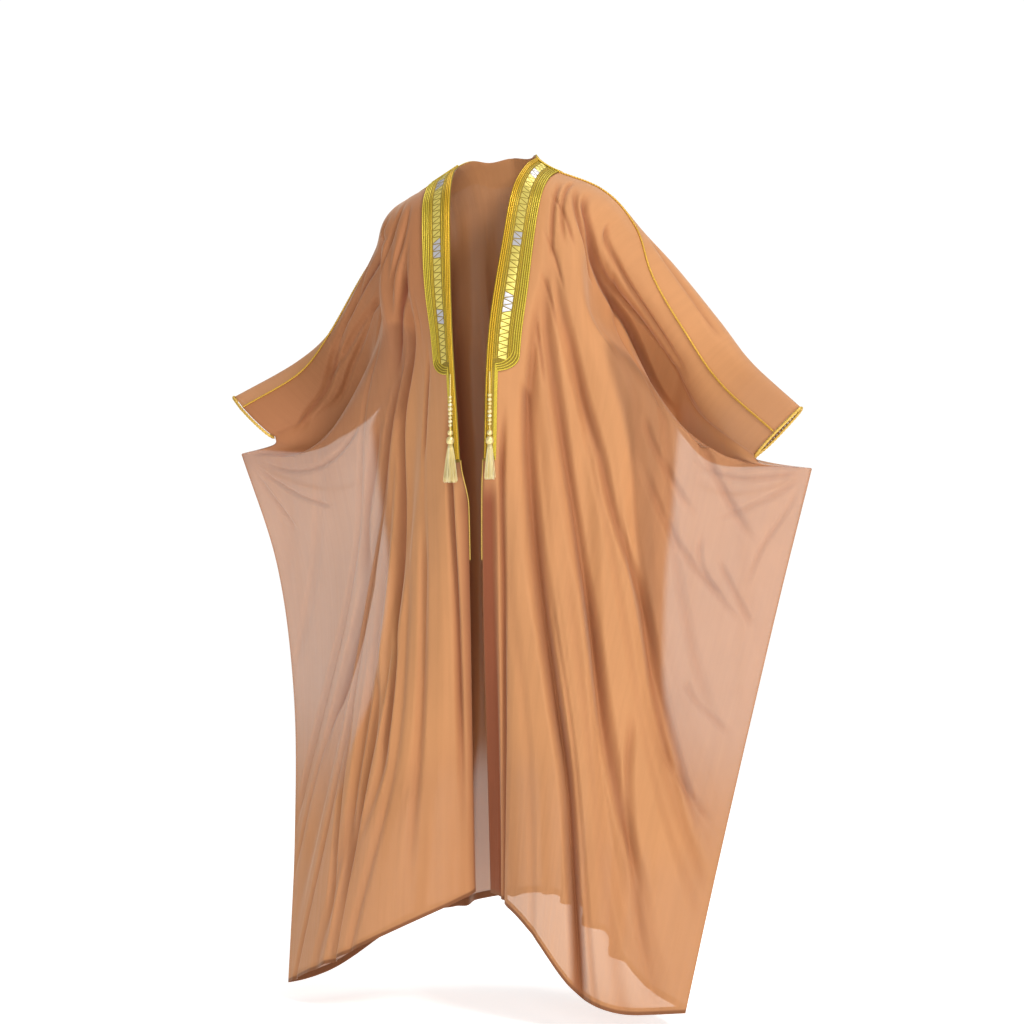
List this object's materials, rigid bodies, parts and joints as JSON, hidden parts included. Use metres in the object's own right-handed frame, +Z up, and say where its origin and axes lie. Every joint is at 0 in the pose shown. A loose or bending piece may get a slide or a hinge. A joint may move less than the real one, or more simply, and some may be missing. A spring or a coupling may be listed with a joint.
{
  "type": "cloak",
  "caption": "Sheer open-front cloak in its worn pose, hollow, with a gold neck band, piped shoulder seams, pointed sleeves and hanging tassels.",
  "frame": {"origin": "middle of the neck opening at the level of the shoulder seams, where the wearer's shoulders carry the cloak", "axes": "+Z up, the wearer faces -Y, the wearer's left is +X"},
  "size_m": [1.1867, 0.4128, 1.5917],
  "materials": {
    "cloth": "sheer amber-brown woven cloth with a soft sheen",
    "band": "dense metallic gold embroidery",
    "piping": "gold thread piping",
    "tassel": "pale shiny gold thread"
  },
  "bodies": {
    "root": {"front_left": "cloth", "front_right": "cloth", "back": "cloth", "band_left": "band", "band_right": "band", "band_back": "band", "strip_left": "band", "strip_right": "band", "edge_cord_left": "piping", "edge_cord_right": "piping", "shoulder_piping_left": "piping", "shoulder_piping_right": "piping", "cuff_piping_left": "piping", "cuff_piping_right": "piping", "tassel_cord_left": "tassel", "tassel_cord_right": "tassel", "tassel_beads_left": "tassel", "tassel_beads_right": "tassel", "tassel_head_left": "tassel", "tassel_head_right": "tassel", "tassel_skirt_left": "tassel", "tassel_skirt_right": "tassel"}
  },
  "joints": []
}
